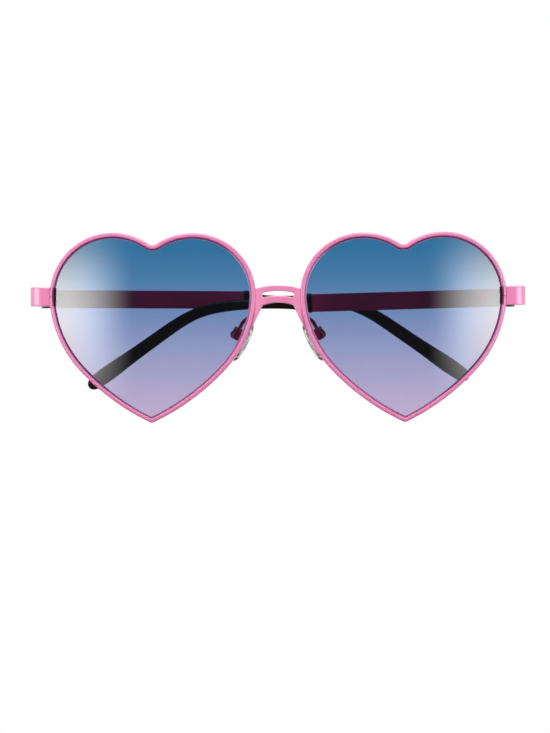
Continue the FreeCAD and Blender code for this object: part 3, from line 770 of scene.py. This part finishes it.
def floor_paint(settings):
    """Pale paint that keeps a soft shadow and runs out into the white background."""
    nodes = Nodes(bpy.data.materials.new("pale_floor"))
    away = vector_maths(nodes, "LENGTH", rest_place(nodes), output="Value")
    start, end = (share * settings.floor_radius for share in FLOOR_FADE)
    far = ramped(nodes, away, start, end)
    white = glowing(nodes, ray(nodes, "Is Camera Ray") * between(far, settings.floor_glow, 1))
    pale = nodes.add("ShaderNodeBsdfDiffuse", {}, {"Color": mixed(nodes, far, FLOOR_GREY, BLACK)})
    return ended(nodes, nodes.add("ShaderNodeAddShader", {}, {0: white, 1: pale}))


def lay_floor(scene, settings):
    """Round floor just under the lowest point of the frame."""
    disc = bmesh.new()
    bmesh.ops.create_circle(disc, cap_ends=True, radius=settings.floor_radius, segments=FLOOR_STEPS)
    floor = add_object(scene, "floor", disc, floor_paint(settings))
    floor.location.z = cad_box[0][2] - FLOOR_GAP
    floor.visible_glossy = False
    floor.visible_transmission = False


def light_room(scene, settings):
    """White to the camera and straight through the lenses, else white behind and dim in front."""
    scene.world = bpy.data.worlds.new("studio")
    nodes = Nodes(scene.world)
    camera = ray(nodes, "Is Camera Ray")
    bounces = ray(nodes, "Glossy Depth") + ray(nodes, "Diffuse Depth")
    straight = ray(nodes, "Is Transmission Ray") * ramped(nodes, bounces, 0, 1, 1, 0)
    seen = camera.math("MAXIMUM", camera, straight)
    behind = ramped(nodes, part_of(nodes, coordinates(nodes, "Generated"), "Y"), *ROOM_TURN)
    strength = seen + (1 - seen) * between(behind, settings.fill, 1)
    light = nodes.add("ShaderNodeBackground", {}, {"Color": WHITE, "Strength": strength})
    nodes.add("ShaderNodeOutputWorld", {}, {"Surface": light})


def softbox_glow(settings):
    """White light that fades to a panel's inner, upper and lower edges and dims a little outwards."""
    nodes = Nodes(bpy.data.materials.new("softbox"))
    place = coordinates(nodes, "Generated")
    outwards = part_of(nodes, place, "X")
    up = part_of(nodes, place, "Z")
    inner_edge = ramped(nodes, outwards, *INNER_FADE)
    outer_edge = ramped(nodes, outwards, *OUTER_FADE, 1, OUTER_LEVEL)
    top_edge = ramped(nodes, up, *TOP_FADE, 1, 0)
    bottom_edge = ramped(nodes, up, *BOTTOM_FADE)
    shape = inner_edge * outer_edge * top_edge * bottom_edge
    return ended(nodes, glowing(nodes, settings.fill + shape * settings.softbox))


def hang_softbox(scene, settings, glow, side):
    """Panel on one side of the camera, turned inwards, that the front and its lenses mirror."""
    low = settings.softbox_rise - settings.softbox_height / 2
    high = settings.softbox_rise + settings.softbox_height / 2
    inner = (settings.softbox_inner, -settings.softbox_far)
    outer = (settings.softbox_outer, -settings.softbox_near)
    corners = ((*inner, low), (*outer, low), (*outer, high), (*inner, high))
    panel = bmesh.new()
    panel.faces.new([panel.verts.new(corner) for corner in corners])
    lamp = add_object(scene, f"{side}_softbox", panel, glow)
    lamp.scale.x = SIDES[side]
    lamp.location.x = settings.softbox_aside
    lamp.visible_camera = False
    lamp.visible_transmission = False
    lamp.visible_shadow = False


def hang_key(scene, settings):
    """Broad key light above the front."""
    sun = bpy.data.lights.new("key", "SUN")
    sun.energy = settings.key * math.pi
    sun.angle = settings.key_size
    key = bpy.data.objects.new("key", sun)
    key.rotation_euler.x = math.pi / 2 - settings.key_height
    scene.collection.objects.link(key)


def set_camera(scene, settings):
    """Camera straight in front, turned a little about its view."""
    view = bpy.data.cameras.new("camera")
    view.lens = view.sensor_width * settings.distance / settings.view_height
    view.clip_end = 4 * settings.distance
    camera = bpy.data.objects.new("camera", view)
    camera.location = (settings.aside, -settings.distance, settings.up)
    turn = Matrix.Rotation(settings.roll, 3, "Y") @ Matrix.Rotation(math.pi / 2, 3, "X")
    camera.rotation_euler = turn.to_euler()
    scene.collection.objects.link(camera)
    scene.camera = camera


class SUNGLASSES_OT_stage(bpy.types.Operator):
    """Set up the floor, the light and the camera"""
    bl_idname = "sunglasses.stage"
    bl_label = "Stage"

    def execute(self, context):
        scene = context.scene
        settings = scene.sunglasses_stage
        lay_floor(scene, settings)
        light_room(scene, settings)
        glow = softbox_glow(settings)
        for side in SIDES:
            hang_softbox(scene, settings, glow, side)
        hang_key(scene, settings)
        set_camera(scene, settings)
        scene.view_settings.view_transform = "Standard"
        return {"FINISHED"}


class SUNGLASSES_PT_panel(bpy.types.Panel):
    """Lists the pieces and their settings"""
    bl_idname = "SUNGLASSES_PT_panel"
    bl_label = "Sunglasses"
    bl_space_type = "VIEW_3D"
    bl_region_type = "UI"
    bl_category = "Sunglasses"

    def draw(self, context):
        for operator in OPERATORS:
            self.layout.operator(operator.bl_idname)
        for name in SETTINGS:
            settings = getattr(context.scene, name)
            box = self.layout.box()
            for key in settings.__annotations__:
                box.prop(settings, key)


SETTINGS = {
    "sunglasses_enamel": EnamelSettings,
    "sunglasses_lens": LensSettings,
    "sunglasses_temple": TempleSettings,
    "sunglasses_pad": PadSettings,
    "sunglasses_stage": StageSettings,
}
OPERATORS = (
    SUNGLASSES_OT_front,
    SUNGLASSES_OT_lenses,
    SUNGLASSES_OT_temples,
    SUNGLASSES_OT_nose_pads,
    SUNGLASSES_OT_stage,
)


def register():
    """Registers the settings, the operators and the panel."""
    for name, settings in SETTINGS.items():
        bpy.utils.register_class(settings)
        setattr(bpy.types.Scene, name, PointerProperty(type=settings))
    for kind in (*OPERATORS, SUNGLASSES_PT_panel):
        bpy.utils.register_class(kind)


def unregister():
    """Takes them away again, the last one first."""
    for kind in (SUNGLASSES_PT_panel, *reversed(OPERATORS)):
        bpy.utils.unregister_class(kind)
    for name, settings in reversed(SETTINGS.items()):
        delattr(bpy.types.Scene, name)
        bpy.utils.unregister_class(settings)


def main():
    """Builds everything in order."""
    register()
    bpy.ops.sunglasses.front()
    bpy.ops.sunglasses.lenses()
    bpy.ops.sunglasses.temples()
    bpy.ops.sunglasses.nose_pads()
    bpy.ops.sunglasses.stage()
    bpy.context.view_layer.update()


if __name__ == "__main__":
    main()
